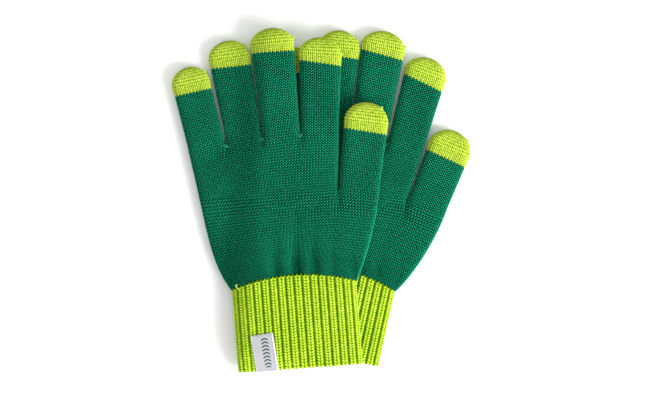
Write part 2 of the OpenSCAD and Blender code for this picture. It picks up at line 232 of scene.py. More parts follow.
def spreadStitches(width, u):    # stitches spread halfway between evenly seen and evenly wide
    edge = min(fabric["softEdge"], width / 2)
    angle = np.linspace(0, math.pi / 2, 25)
    x = edge * (1 - np.cos(angle))
    z = radius * np.sin(angle)
    x, z = np.concatenate([x, width - x[::-1]]), np.concatenate([z, z[::-1]])
    arc = np.concatenate([[0], np.cumsum(np.hypot(np.diff(x), np.diff(z)))])
    return np.interp(u, (arc / arc[-1] + x / width) / 2, x / width)


def faceSection(u, parts):
    # Share across, height and sideways tilt of a face made of parts side by side: [(width, stitches)]
    width, stitches = sum(p[0] for p in parts), sum(p[1] for p in parts)
    share, height, tilt = np.zeros(len(u)), np.zeros(len(u)), np.zeros(len(u))
    x0 = u0 = 0.0
    for w, n in parts:
        here = (u >= u0 - 1e-9) & (u <= u0 + n / stitches + 1e-9)
        local = spreadStitches(w, np.clip((u[here] - u0) * stitches / n, 0, 1))
        edge = min(fabric["softEdge"], w / 2)
        e = np.clip(np.minimum(local, 1 - local) * w / edge, 0, 1)
        h = np.sqrt(1 - (1 - e) ** 2)
        nx, nz = (1 - e) / edge, h / radius
        share[here] = (x0 + local * w) / width
        height[here] = h
        tilt[here] = np.sign(local - 0.5) * nx / np.hypot(nx, nz)
        x0 += w
        u0 += n / stitches
    return share, height, tilt


def unevenness(p):       # hand-knit softness: slow rises and dips, as a share of the height
    x, y = p.real, p.imag
    return 0.03 * np.sin(x / 7.3 + 1.3 * np.sin(y / 11)) + 0.025 * np.sin(y / 9.1 + 0.9 * np.sin(x / 13))


def gridPiece(name, points, stitches):
    # One grid laid through all points; equal first and last rows or columns are sewn together
    rows, columns = points.shape[:2]
    bm = bmesh.new()
    bmesh.ops.create_grid(bm, x_segments=columns - 1, y_segments=rows - 1, size=1)
    mesh = bpy.data.meshes.new(name)
    bm.to_mesh(mesh)
    bm.free()
    flat = np.empty(len(mesh.vertices) * 3)
    mesh.vertices.foreach_get("co", flat)
    flat = flat.reshape(-1, 3)
    i = np.rint((flat[:, 0] / flat[:, 0].max() + 1) / 2 * (columns - 1)).astype(int)
    j = np.rint((flat[:, 1] / flat[:, 1].max() + 1) / 2 * (rows - 1)).astype(int)
    mesh.vertices.foreach_set("co", (points[j, i] * mm).ravel())
    corner = np.empty(len(mesh.loops), int)
    mesh.loops.foreach_get("vertex_index", corner)
    uv = mesh.uv_layers.new(name="stitches")
    uv.data.foreach_set("uv", stitches[j, i][corner].ravel())
    bm = bmesh.new()
    bm.from_mesh(mesh)
    bmesh.ops.remove_doubles(bm, verts=bm.verts, dist=2e-6)
    bmesh.ops.dissolve_degenerate(bm, edges=bm.edges, dist=1e-6)
    bmesh.ops.recalc_face_normals(bm, faces=bm.faces)
    bm.to_mesh(mesh)
    bm.free()
    mesh.polygons.foreach_set("use_smooth", [True] * len(mesh.polygons))
    mesh.set_sharp_from_angle(angle=math.radians(80))    # the cut ends stay crisp
    piece = bpy.data.objects.new(name, mesh)
    bpy.context.scene.collection.objects.link(piece)
    return piece


def ringColumns(perFace):    # over the top from left to right, then back underneath
    k = np.arange(2 * perFace + 1)
    u = np.where(k <= perFace, k, 2 * perFace - k) / perFace
    return k, u, np.where(k <= perFace, 1.0, -1.0)


legHeights = np.array([0, 1, 0.42, 1])           # across one stitch: hollow, leg, crease, leg
rowHeights = np.array([0.12, 0.95, 0.95])        # along one stitch


def legShift(k):         # a stitch's legs slant, and its right leg sits a little lower than its left one
    phase = (k / 4) % 1
    return (np.abs(2 * phase - 1) - 0.5) * fabric["zigzag"] + np.sin(2 * math.pi * phase) * fabric["stagger"]


def layTube(name, g, plan, wales, courses, widthAt, lengthOf, endParts=None, endBlend=9.0, swell=None):
    # A flat-lying knitted tube with both ends open, its outside stitched, its inside plain
    k, u, side = ringColumns(wales * 4)
    leg = legHeights[k % 4]
    zig = legShift(k)
    v = np.arange(courses * 3 + 1) / 3
    f = v / courses
    sections = [faceSection(u, [(widthAt(x), wales)]) for x in f]
    share, height, tilt = (np.array([s[q] for s in sections]) for q in range(3))
    if endParts:
        w = ease(1 - (1 - f) * lengthOf / endBlend)[:, None]
        end = faceSection(u, endParts)
        share, height, tilt = mix(share, end[0], w), mix(height, end[1], w), mix(tilt, end[2], w)
    sideEdge = (u == 0) | (u == 1)
    height = np.where(sideEdge, 0, np.maximum(height, 0.02))
    fAll = f[:, None] + zig[None, :] / courses
    rel = -fabric["relief"] * (1 - leg[None, :] * rowHeights[np.arange(len(v)) % 3][:, None])
    p = plan(share, fAll)
    sideways = plan(share + 0.002, fAll) - plan(share - 0.002, fAll)
    sideways /= np.abs(sideways)
    puff = 1 + unevenness(p) - 0.03
    if swell is not None:
        puff = puff * swell(p, fAll * lengthOf, side[None, :])
    upright = np.sqrt(1 - tilt ** 2)
    q = p + sideways * tilt * rel
    z = radius + side * (height * radius * puff + upright * rel) + liftOf(p, g)
    outer = np.stack([q.real, q.imag, np.maximum(z, 0.02)], -1)
    inRows = np.rint(np.linspace(len(v) - 1, 0, max(4, courses // 3))).astype(int)
    wIn = np.array([widthAt(x) for x in f])[inRows][:, None]
    shareIn = fabric["wall"] / wIn + share[inRows] * (1 - 2 * fabric["wall"] / wIn)
    pIn = plan(shareIn, fAll[inRows])
    zIn = radius + side * height[inRows] * (radius - fabric["wall"]) * puff[inRows] + liftOf(pIn, g)
    inner = np.stack([pIn.real, pIn.imag, zIn], -1)
    uv = np.stack(np.broadcast_arrays(k[None, :] / 4, v[:, None]), -1)
    points = np.concatenate([outer, inner, outer[:1]])
    return gridPiece(name, points, np.concatenate([uv, uv[inRows], uv[:1]]))


def layTip(name, g, i):
    # A coloured fingertip: a short sleeve that closes in a rounded end
    size = fingers[fingerNames[i]]
    wales, end, turn = size["wales"], size["tip"], g["turns"][i]
    domeStart, courses = tipShape["domeStart"], round(size["tip"] / tipShape["course"])
    k, u, side = ringColumns(wales * 4)
    leg = legHeights[k % 4]
    zig = legShift(k) * fabric["course"]
    v = np.arange(courses * 3 + 1) / 3
    t = v / courses
    slant = math.tan(math.radians(g["slant"][i]))

    def shell(inset, rows, relief):
        points = []
        for j in rows:
            straight = min(1, t[j] / domeStart)
            angle = math.pi / 2 * max(0, (t[j] - domeStart) / (1 - domeStart))
            half = size["endWidth"] / 2 + tipShape["puff"] * straight
            d = end * domeStart * straight + (end * (1 - domeStart) - inset) * math.sin(angle)
            w = max(2 * (half - inset) * math.cos(angle), 1e-4)
            thick = (radius - inset) * math.sqrt(max(math.cos(angle), 0))
            s, h, tilt = faceSection(u, [(w, wales)])
            fade = min(1, w / 10)
            rel = -relief * (1 - leg * rowHeights[j % 3]) * fade
            c = (s - 0.5) * w + tilt * rel
            dAll = d + (zig * (1 - t[j]) + slant * c * (1 - t[j]) ** 2)
            p = baseMiddle(g, i) + along(turn) * (fingerLength(g, i) + dAll) + across(turn) * c
            puff = 1 + unevenness(p) - 0.03
            z = radius + side * (h * thick * puff + np.sqrt(1 - tilt ** 2) * rel) + liftOf(p, g)
            points.append(np.stack([p.real, p.imag, np.maximum(z, 0.02)], -1))
        return np.array(points)

    rows = np.arange(len(v))
    inRows = rows[::-4]
    outer = shell(0, rows, fabric["relief"] * tipShape["relief"])
    inner = shell(fabric["wall"], inRows, 0)
    uv = np.stack(np.broadcast_arrays(k[None, :] / 4, v[:, None]), -1)
    points = np.concatenate([outer, inner, outer[:1]])
    return gridPiece(name, points, np.concatenate([uv, uv[inRows], uv[:1]]))


ribLegs = np.array([0, 0.35, 0.85, 1, 0.75, 0.35, 0.75, 1, 0.85, 0.35])    # across one rib
ribRise = np.array([0, 0.42, 0.85, 1, 1, 0.97, 1, 1, 0.85, 0.42])


def layCuff(name, g):
    # Ribs run along the cuff; each is a column of stitches between two hollows
    ribs, columns, length = cuffShape["ribs"], 10, g["cuffLength"]
    k, u, side = ringColumns(ribs * columns)
    phase = (k / columns) % 1
    leg, rise = ribLegs[k % columns], ribRise[k % columns]
    courses = round(length / cuffShape["course"])
    v = np.arange(courses * 3 + 1) / 3
    f = v[:, None] / courses
    d = f * length
    share, height, tilt = (q[None, :] for q in faceSection(u, [(cuffShape["width"], ribs)]))
    slope = (np.abs(2 * phase - 1) - 0.5) * 0.7 / courses
    teeth = (np.abs(((2 * k / columns) % 1) * 2 - 1) - 0.5) * 1.3 / length    # colour edge at the hand
    hem = -0.7 * rise / length                   # the ribs stand out a little at the hem
    nearEnd, nearHem = ease((d - length + 4) / 4), ease(1 - d / 3)
    fAll = f + slope * (1 - nearEnd) * (1 - nearHem) + teeth * nearEnd + hem * nearHem
    flat = np.interp(share * cuffShape["width"], [0, 5, cuffShape["edgeFlat"], cuffShape["edgeFlat"] + 5],
                     [0.3, 0.35, 0.6, 1]) if g["lifted"] else np.ones(share.shape)
    depth = cuffShape["ribDepth"] * flat * mix(1, 0.45, nearEnd) * mix(1, 0.7, nearHem)
    rel = -depth * (1 - rise) - cuffShape["relief"] * (1 - leg * rowHeights[np.arange(len(v)) % 3][:, None])
    p = onCuff(g, share, fAll)
    sideways = onCuff(g, share + 0.002, fAll) - onCuff(g, share - 0.002, fAll)
    sideways /= np.abs(sideways)
    puff = 1 + unevenness(p) * 0.8 - 0.02 - 0.1 * ease(1 - d / 1.6)
    upright = np.sqrt(1 - tilt ** 2)
    q = p + sideways * tilt * rel
    z = radius + side * (height * radius * puff + upright * rel) + liftOf(p, g)
    outer = np.stack([q.real, q.imag, np.maximum(z, 0.02)], -1)
    inRows = np.rint(np.linspace(len(v) - 1, 0, 14)).astype(int)
    inset = fabric["wall"] / cuffShape["width"]
    pIn = onCuff(g, inset + share * (1 - 2 * inset), fAll[inRows])
    inside = radius - fabric["wall"] + 0.25 * (rise[None, :] - 0.5)
    zIn = radius + side * height * inside * puff[inRows] + liftOf(pIn, g)
    inner = np.stack([pIn.real, pIn.imag, zIn], -1)
    uv = np.stack(np.broadcast_arrays(k[None, :] / columns, v[:, None]), -1)
    points = np.concatenate([outer, inner, outer[:1]])
    return gridPiece(name, points, np.concatenate([uv, uv[inRows], uv[:1]]))


def yarnTube(name, path, thick, closed=False):
    # A round yarn along a path of points in millimetres; an open one narrows to a point at its ends
    path = np.array(path, float)
    around, n = 8, len(path)
    if closed:
        path = np.concatenate([path, path[:1]])
        tangent = np.roll(path[:-1], -1, 0) - np.roll(path[:-1], 1, 0)
        tangent = np.concatenate([tangent, tangent[:1]])
        thickness = np.full(n + 1, thick)
    else:
        tangent = np.gradient(path, axis=0)
        thickness = np.full(n, thick)
        thickness[[0, -1]] = 1e-4
    tangent /= np.linalg.norm(tangent, axis=1)[:, None]
    normal = np.cross(tangent, [0.31, 0.17, 0.93])
    normal /= np.linalg.norm(normal, axis=1)[:, None]
    binormal = np.cross(tangent, normal)
    turn = np.linspace(0, 2 * math.pi, around + 1)
    points = (path[None] + thickness[None, :, None] * (np.cos(turn)[:, None, None] * normal[None]
                                                      + np.sin(turn)[:, None, None] * binormal[None]))
    length = np.concatenate([[0], np.cumsum(np.linalg.norm(np.diff(path, axis=0), axis=1))])
    uv = np.stack(np.broadcast_arrays(turn[:, None] / (2 * math.pi), length[None, :]), -1)
    return gridPiece(name, points, uv)


def joinPieces(name, pieces):
    bm = bmesh.new()
    for piece in pieces:
        bm.from_mesh(piece.data)
        bpy.data.objects.remove(piece)
    mesh = bpy.data.meshes.new(name)
    bm.to_mesh(mesh)
    bm.free()
    whole = bpy.data.objects.new(name, mesh)
    bpy.context.scene.collection.objects.link(whole)
    return whole


def space(p, z):         # plan place and height to a point
    return np.stack(np.broadcast_arrays(np.real(p), np.imag(p), z), -1)


def bend(points, count):     # a soft line through a few points
    points = np.array(points, float)
    t, k = np.linspace(0, len(points) - 1, count), np.arange(len(points))
    line = np.stack([np.interp(t, k, points[:, q]) for q in range(3)], -1)
    for _ in range(3):
        line[1:-1] = (line[:-2] + 2 * line[1:-1] + line[2:]) / 4
    return line


elastic = {"bands": [0.22, 0.5, 0.78], "spread": 1.1, "thick": 0.32, "inside": 0.45}


def layElastic(name, g):     # three yarns side by side in each band, on the inside of the cuff
    k, u, side = ringColumns(80)
    share, height, tilt = faceSection(u, [(cuffShape["width"], cuffShape["ribs"])])
    inset = fabric["wall"] / cuffShape["width"]
    rings = []
    for band in elastic["bands"]:
        for q in (-1, 0, 1):
            f = band + q * elastic["spread"] / g["cuffLength"]
            p = onCuff(g, inset + share * (1 - 2 * inset), f)
            z = radius + side * height * (radius - fabric["wall"] - elastic["inside"]) + liftOf(p, g)
            rings.append(yarnTube("ring", space(p, z)[:-1], elastic["thick"], closed=True))
    return joinPieces(name, rings)


knot = {"radius": 0.9, "yarn": 0.36, "angles": [52, 0, 15, 34, 34], "tail": 0.72, "sunk": 0.36}


def tieKnot(name, g, i):     # a small overhand knot at the right shoulder of a tip, with its cut end
    size, turn, a = fingers[fingerNames[i]], g["turns"][i], math.radians(knot["angles"][i])
    straight = size["tip"] * tipShape["domeStart"]
    half, dome = size["endWidth"] / 2 + tipShape["puff"] * min(1, math.degrees(a)), size["tip"] - straight
    out = complex(math.cos(a) / half, math.sin(a) / dome)
    out = out / abs(out)
    c = complex(half * math.cos(a), straight + dome * math.sin(a)) - out * knot["sunk"]
    place = baseMiddle(g, i) + along(turn) * (fingerLength(g, i) + c.imag) + across(turn) * c.real
    t = np.linspace(0, 2 * math.pi, 49)[:-1]
    k = knot["radius"] / 3.3
    loop = place + k * ((np.sin(t) + 2 * np.sin(2 * t)) + 1j * (np.cos(t) - 2 * np.cos(2 * t))) * out
    z = radius + liftOf(np.array(place), g) + 0.6
    tied = yarnTube("loop", space(loop, z + k * 1.4 * -np.sin(3 * t)), knot["yarn"], closed=True)
    outwards = across(turn) * out
    cut = place + outwards * knot["tail"]
    ends = [place, place + outwards * 1.2, cut + along(turn) * 0.3, cut + along(turn) * 0.9]
    line = bend([space(e, z + h) for e, h in zip(ends, (0, 0.3, 0, -0.5))], 12)
    tail = yarnTube("tail", line, knot["yarn"] * 0.8)
    return joinPieces(name, [tied, tail])


tack = {"below": 1.6, "reach": 1.2, "yarn": 0.38}


def sewTacks(name, g):       # two crossed bars of yarn hold the layers together at each crotch
    bars = []
    for i in (1, 2, 3):
        p = baseLeft(g, i) - along(g["turns"][2]) * tack["below"]
        z = radius + liftOf(np.array(p), g)
        for lean in (45, -45):
            d = across(g["turns"][2] + lean) * tack["reach"]
            line = bend([space(p - d, z + 0.5), space(p - 0.4 * d, z + 1.5), space(p + 0.4 * d, z + 1.5),
                         space(p + d, z + 0.5)], 9)
            bars.append(yarnTube("bar", line, tack["yarn"]))
            bars.append(yarnTube("bar", line * [1, 1, -1] + [0, 0, 2 * float(z)], tack["yarn"]))
    return joinPieces(name, bars)


label = {                # a folded strip of satin over the hem of the upper layer
    "width": 14.0, "outer": 20.5, "inner": 8.0, "inset": 11.8, "thick": 0.32, "slack": 0.25, "lean": 4.6,
    "stitch": 1.5, "stitchEvery": 2.15, "thread": 0.2,
}


def labelPath():         # distance from the hem and height, from the outer end round the hem to the inner end
    high, low = fabric["layer"] + label["slack"], fabric["layer"] - fabric["wall"] - label["slack"]
    bendRadius = (high - low) / 2
    angle = np.linspace(0, math.pi, 13)
    d = np.concatenate([np.linspace(label["outer"], 0, 30)[:-1], -bendRadius * np.sin(angle) * 0.6,
                        np.linspace(0, label["inner"], 13)[1:]])
    z = np.concatenate([np.full(29, high), low + bendRadius * (1 + np.cos(angle)), np.full(12, low)])
    return d, z


def onLabel(g, across01, d):     # plan place on the label, which leans a little to the left
    lean = -math.tan(math.radians(label["lean"])) * np.maximum(d, 0) / cuffShape["width"]
    share = (label["inset"] + label["width"] * across01) / cuffShape["width"]
    return onCuff(g, share + lean, d / g["cuffLength"])


def foldLabel(name, g):
    d, z = labelPath()
    length = np.concatenate([[0], np.cumsum(np.hypot(np.diff(d), np.diff(z)))])
    columns = 14
    k = np.arange(2 * columns + 1)
    u = np.where(k <= columns, k, 2 * columns - k) / columns
    nd, nz = np.gradient(z), -np.gradient(d)     # outward from the fold
    nd, nz = nd / np.hypot(nd, nz), nz / np.hypot(nd, nz)
    thick = np.full(len(d), label["thick"])
    thick[[0, -1]] = 0
    side = np.where((k > 0) & (k < columns), 1.0, 0.0)
    curl = 0.25 * (2 * u - 1) ** 4 * np.exp(-((d[:, None] - label["outer"]) / 4) ** 2)
    out = side[None] * thick[:, None]
    dAll, zAll = d[:, None] + nd[:, None] * out, z[:, None] + nz[:, None] * out
    p = onLabel(g, u[None], dAll)
    zAll = zAll + liftOf(onLabel(g, u[None], np.maximum(dAll, 0)), g) + curl
    uv = np.stack(np.broadcast_arrays(k[None] / columns, length[:, None]), -1)
    return gridPiece(name, space(p, zAll), uv), float(length[-1])


def sewLabel(name, g):       # short running stitches down both sides
    stitches = []
    high = fabric["layer"] + label["slack"] + label["thick"] + 0.05

    def stitch(a, b):
        p = np.array([onLabel(g, *mix(np.array(a), np.array(b), t)) for t in np.linspace(0, 1, 7)])
        z = high + liftOf(p, g) + label["thread"] * np.sin(np.linspace(0, math.pi, 7)) - 0.12
        stitches.append(yarnTube("stitch", space(p, z), label["thread"]))

    for edge in (0.07, 0.93):
        for d in np.arange(1.2, label["outer"] - 2, label["stitchEvery"]):
            stitch((edge, d), (edge, d + label["stitch"]))
    return joinPieces(name, stitches)


def srgb(red, green, blue):      # a colour from 0 to 255, made linear
    parts = [c / 255 for c in (red, green, blue)]
    return [((c + 0.055) / 1.055) ** 2.4 if c > 0.0404 else c / 12.92 for c in parts] + [1]


def newMaterial(name):
    material = bpy.data.materials.new(name)
    material.use_nodes = True
    shader = material.node_tree.nodes["Principled BSDF"]
    return material, material.node_tree, shader


def calc(tree, operation, a, b=None, clamp=False):   # one Math node
    node = tree.nodes.new("ShaderNodeMath")
    node.operation, node.use_clamp = operation, clamp
    for socket, value in zip(node.inputs, (a, b)):
        if value is None:
            continue
        if isinstance(value, (int, float)):
            socket.default_value = value
        else:
            tree.links.new(value, socket)
    return node.outputs[0]


def ramp(tree, factor, stops):
    node = tree.nodes.new("ShaderNodeValToRGB")
    while len(node.color_ramp.elements) < len(stops):
        node.color_ramp.elements.new(0.5)
    for element, (place, colour) in zip(node.color_ramp.elements, stops):
        element.position, element.color = place, colour
    tree.links.new(factor, node.inputs[0])
    return node.outputs[0]


def stitchSpace(tree, scale=(1, 1, 1)):
    uv = tree.nodes.new("ShaderNodeUVMap")
    uv.uv_map = "stitches"
    place = tree.nodes.new("ShaderNodeMapping")
    place.inputs["Scale"].default_value = scale
    tree.links.new(uv.outputs[0], place.inputs["Vector"])
    return place.outputs[0]


def noise(tree, vector, scale, detail=2.0, roughness=0.5):
    node = tree.nodes.new("ShaderNodeTexNoise")
    node.inputs["Scale"].default_value = scale
    node.inputs["Detail"].default_value = detail
    node.inputs["Roughness"].default_value = roughness
    tree.links.new(vector, node.inputs["Vector"])
    return node.outputs[0]


def knitMaterial(name, look):
    # Colour, strand and fibre detail placed stitch by stitch from the piece's own stitch map. The strand
    # pattern paints shade into the hollows between stitches and a highlight onto their crests; the noises add
    # random yarn tone
    material, tree, shader = newMaterial(name)
    split = tree.nodes.new("ShaderNodeSeparateXYZ")
    tree.links.new(stitchSpace(tree), split.inputs[0])
    u, v = calc(tree, "FRACT", split.outputs[0]), calc(tree, "FRACT", split.outputs[1])
    if look["rib"]:      # the stitches stand on the middle part of each rib, and the hollows between ribs get the painted shade of the pit colour
        u = calc(tree, "DIVIDE", calc(tree, "SUBTRACT", u, 0.08), 0.84, clamp=True)
    legs = calc(tree, "ABSOLUTE", calc(tree, "SINE", calc(tree, "MULTIPLY", u, 2 * math.pi)))
    rows = calc(tree, "SINE", calc(tree, "MULTIPLY", v, math.pi))
    rows = calc(tree, "POWER", calc(tree, "MAXIMUM", rows, 0), look["gap"])
    body = calc(tree, "ADD", calc(tree, "MULTIPLY", calc(tree, "POWER", legs, 0.8), 0.85), 0.15)
    strand = calc(tree, "MULTIPLY", body, rows)
    fibre = noise(tree, stitchSpace(tree, (2.6, 11, 1)), 1.0, 3.0, 0.6)
    fuzz = noise(tree, stitchSpace(tree, (9, 9, 1)), 1.0, 2.0)
    stitch = noise(tree, stitchSpace(tree, (2, 1, 1)), 0.9, 0.0)
    place = tree.nodes.new("ShaderNodeTexCoord").outputs["Object"]
    heather = noise(tree, place, 42, 3.0, 0.6)
    tone = calc(tree, "MULTIPLY", strand, look["depth"])
    amounts = (fibre, look["fibre"]), (stitch, look["stitch"]), (heather, look["heather"]), (fuzz, 0.12)
    for part, amount in amounts:
        tone = calc(tree, "ADD", tone, calc(tree, "MULTIPLY", calc(tree, "SUBTRACT", part, 0.5), amount))
    tone = calc(tree, "ADD", tone, look["base"], clamp=True)
    # the ramp paints shade into the stitch hollows and a highlight onto the crests
    stops = [(0.0, look["pit"]), (0.3, look["shade"]), (0.62, look["body"]), (1.0, look["light"])]
    tree.links.new(ramp(tree, tone, stops), shader.inputs["Base Color"])
    height = calc(tree, "ADD", strand, calc(tree, "MULTIPLY", fibre, 0.35))
    height = calc(tree, "ADD", height, calc(tree, "MULTIPLY", fuzz, 0.2))
    bump = tree.nodes.new("ShaderNodeBump")
    bump.inputs["Strength"].default_value = 0.8
    bump.inputs["Distance"].default_value = 0.0006
    tree.links.new(height, bump.inputs["Height"])
    tree.links.new(bump.outputs[0], shader.inputs["Normal"])
    shader.inputs["Roughness"].default_value = 0.92
    shader.inputs["Specular IOR Level"].default_value = 0.08
    return material


greenLook = {            # how strongly each part of the pattern shows, and its colours from hollow to crest: painted shade in the hollows, a painted highlight on the crests
    "rib": False, "gap": 0.8, "depth": 1.25, "fibre": 0.5, "stitch": 0.4, "heather": 0.3, "base": -0.2,
    "pit": srgb(0, 14, 11), "shade": srgb(0, 54, 40), "body": srgb(0, 100, 72), "light": srgb(26, 172, 124),
}
limeLook = {
    "rib": False, "gap": 0.4, "depth": 1.05, "fibre": 0.55, "stitch": 0.5, "heather": 0.3, "base": -0.12,
    "pit": srgb(80, 112, 4), "shade": srgb(138, 174, 22),
    "body": srgb(176, 206, 50), "light": srgb(224, 238, 112),
}
ribLook = dict(
    limeLook, rib=True, gap=0.6, pit=srgb(80, 120, 0), shade=srgb(130, 172, 14),
    body=srgb(164, 200, 34), light=srgb(210, 230, 86))


def yarnMaterial(name, dark, light, sheen=0.15, twist=9.0):
    # Plied yarn: slanting plies round the thread, with loose fibres. The ply stripes paint shade into the
    # grooves between plies and a highlight onto their crowns; the fibre noise is random yarn tone
    material, tree, shader = newMaterial(name)
    split = tree.nodes.new("ShaderNodeSeparateXYZ")
    tree.links.new(stitchSpace(tree), split.inputs[0])
    spiral = calc(tree, "ADD", calc(tree, "MULTIPLY", split.outputs[0], 4 * math.pi),
                  calc(tree, "MULTIPLY", split.outputs[1], twist))
    ply = calc(tree, "MULTIPLY", calc(tree, "ADD", calc(tree, "SINE", spiral), 1), 0.5)
    fibre = noise(tree, stitchSpace(tree, (14, 5, 1)), 1.0, 2.0)
    tone = calc(tree, "ADD", calc(tree, "MULTIPLY", ply, 0.7), calc(tree, "MULTIPLY", fibre, 0.35))
    # painted shade in the ply grooves, painted highlight on the ply crowns
    tree.links.new(ramp(tree, tone, [(0.1, dark), (0.85, light)]), shader.inputs["Base Color"])
    bump = tree.nodes.new("ShaderNodeBump")
    bump.inputs["Strength"].default_value = 0.5
    bump.inputs["Distance"].default_value = 0.0002
    tree.links.new(tone, bump.inputs["Height"])
    tree.links.new(bump.outputs[0], shader.inputs["Normal"])
    shader.inputs["Roughness"].default_value = 0.85
    shader.inputs["Sheen Weight"].default_value = sheen
    return material


chevrons = {"at": 0.58, "reach": 0.15, "slope": 3.2, "thick": 0.42, "first": 2.2, "last": 19}


def satinMaterial(name):
    # Silver satin with brighter woven edges and a column of small dark chevrons
    material, tree, shader = newMaterial(name)
    split = tree.nodes.new("ShaderNodeSeparateXYZ")
    tree.links.new(stitchSpace(tree), split.inputs[0])
    u, v = split.outputs[0], split.outputs[1]
    slanting = calc(tree, "ADD", calc(tree, "MULTIPLY", u, 230), calc(tree, "MULTIPLY", v, 16))
    weave = calc(tree, "SINE", slanting)
    grain = noise(tree, stitchSpace(tree, (60, 1.2, 1)), 1.0, 2.0)
    tone = calc(tree, "ADD", calc(tree, "MULTIPLY", weave, 0.08), calc(tree, "MULTIPLY", grain, 0.5))
    fromMiddle = calc(tree, "ABSOLUTE", calc(tree, "SUBTRACT", u, 0.5))
    edge = calc(tree, "MULTIPLY", calc(tree, "GREATER_THAN", fromMiddle, 0.43), 0.35)
    silver = [(0.05, srgb(142, 144, 148)), (0.45, srgb(180, 182, 186)), (0.9, srgb(222, 223, 226))]
    cloth = ramp(tree, calc(tree, "ADD", tone, edge), silver)
    beside = calc(tree, "ABSOLUTE", calc(tree, "SUBTRACT", u, chevrons["at"]))
    arms = calc(tree, "MULTIPLY", beside, chevrons["slope"])
    slope = calc(tree, "FRACT", calc(tree, "SUBTRACT", calc(tree, "MULTIPLY", v, 0.5), arms))
    inColumn = calc(tree, "LESS_THAN", beside, chevrons["reach"])
    mark = calc(tree, "MULTIPLY", inColumn, calc(tree, "LESS_THAN", slope, chevrons["thick"]))
    mark = calc(tree, "MULTIPLY", mark, calc(tree, "LESS_THAN", v, chevrons["last"]))
    mark = calc(tree, "MULTIPLY", mark, calc(tree, "GREATER_THAN", v, chevrons["first"]))
    blendNode = tree.nodes.new("ShaderNodeMix")
    blendNode.data_type = "RGBA"
    tree.links.new(mark, blendNode.inputs["Factor"])
    tree.links.new(cloth, blendNode.inputs["A"])
    blendNode.inputs["B"].default_value = srgb(4, 50, 42)
    tree.links.new(blendNode.outputs["Result"], shader.inputs["Base Color"])
    bump = tree.nodes.new("ShaderNodeBump")
    bump.inputs["Strength"].default_value = 0.25
    bump.inputs["Distance"].default_value = 0.0001
    tree.links.new(tone, bump.inputs["Height"])
    tree.links.new(bump.outputs[0], shader.inputs["Normal"])
    shader.inputs["Roughness"].default_value = 0.38
    shader.inputs["Sheen Weight"].default_value = 0.1
    return material


handKnit = knitMaterial("greenHandKnit", greenLook)
touchKnit = knitMaterial("limeTouchKnit", limeLook)
ribKnit = knitMaterial("limeRibKnit", ribLook)
limeYarn = yarnMaterial("limeClosingYarn", srgb(120, 168, 14), srgb(204, 238, 84))
greenYarn = yarnMaterial("greenTackYarn", srgb(0, 60, 44), srgb(60, 176, 140))
elasticYarn = yarnMaterial("elasticYarn", srgb(176, 188, 120), srgb(236, 240, 206), 0.05, 14.0)
greyThread = yarnMaterial("greySewingThread", srgb(140, 142, 148), srgb(214, 216, 222), 0.1, 20.0)
paleThread = yarnMaterial("paleLooseThread", srgb(120, 190, 160), srgb(200, 236, 214))
satin = satinMaterial("silverSatin")
print("knit, yarn and satin ready")


def dress(piece, material, nodes):
    piece.data.materials.append(material)
    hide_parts(*nodes)


def point(place, height):
    return (place.real * mm, place.imag * mm, height * mm)


folds = {                # shares of the glove's height, and distances in millimetres
    "spacing": 12.6, "depth": 0.6, "ridge": 0.32, "spread": 18, "start": 9, "fade": 13,
    "broadSpacing": 27, "broadDepth": 0.16, "broadSpread": 30, "broadFade": 60, "least": 0.42,
}


def wrinkles(p, d, turn, x0, ridge):    # soft folds where the hand gathers into the cuff
    x = dot(p, across(turn)) - x0
    phase = (x - 1.5) / folds["spacing"] + 0.1 * np.sin((x + x0) / 15) + 0.1 * np.sin(d / 9)
    wave = 0.5 + 0.5 * np.cos(2 * math.pi * phase)
    middle = 0.2 + 0.8 * np.exp(-((x - 2) / folds["spread"]) ** 2)
    rise = 0.4 + 0.6 * ease(d / 6)
    fade = rise * np.exp(-np.maximum(d - folds["start"], 0) / folds["fade"])
    deep = (folds["depth"] * wave ** 1.5 - ridge * (1 - wave)) * middle * fade
    broad = 0.5 + 0.5 * np.sin(2 * math.pi * (x / folds["broadSpacing"] + 0.1 + 0.08 * np.sin(d / 14)))
    reach = np.exp(-(x / folds["broadSpread"]) ** 2 - d / folds["broadFade"])
    return np.maximum(1 - deep - folds["broadDepth"] * broad * reach, folds["least"])


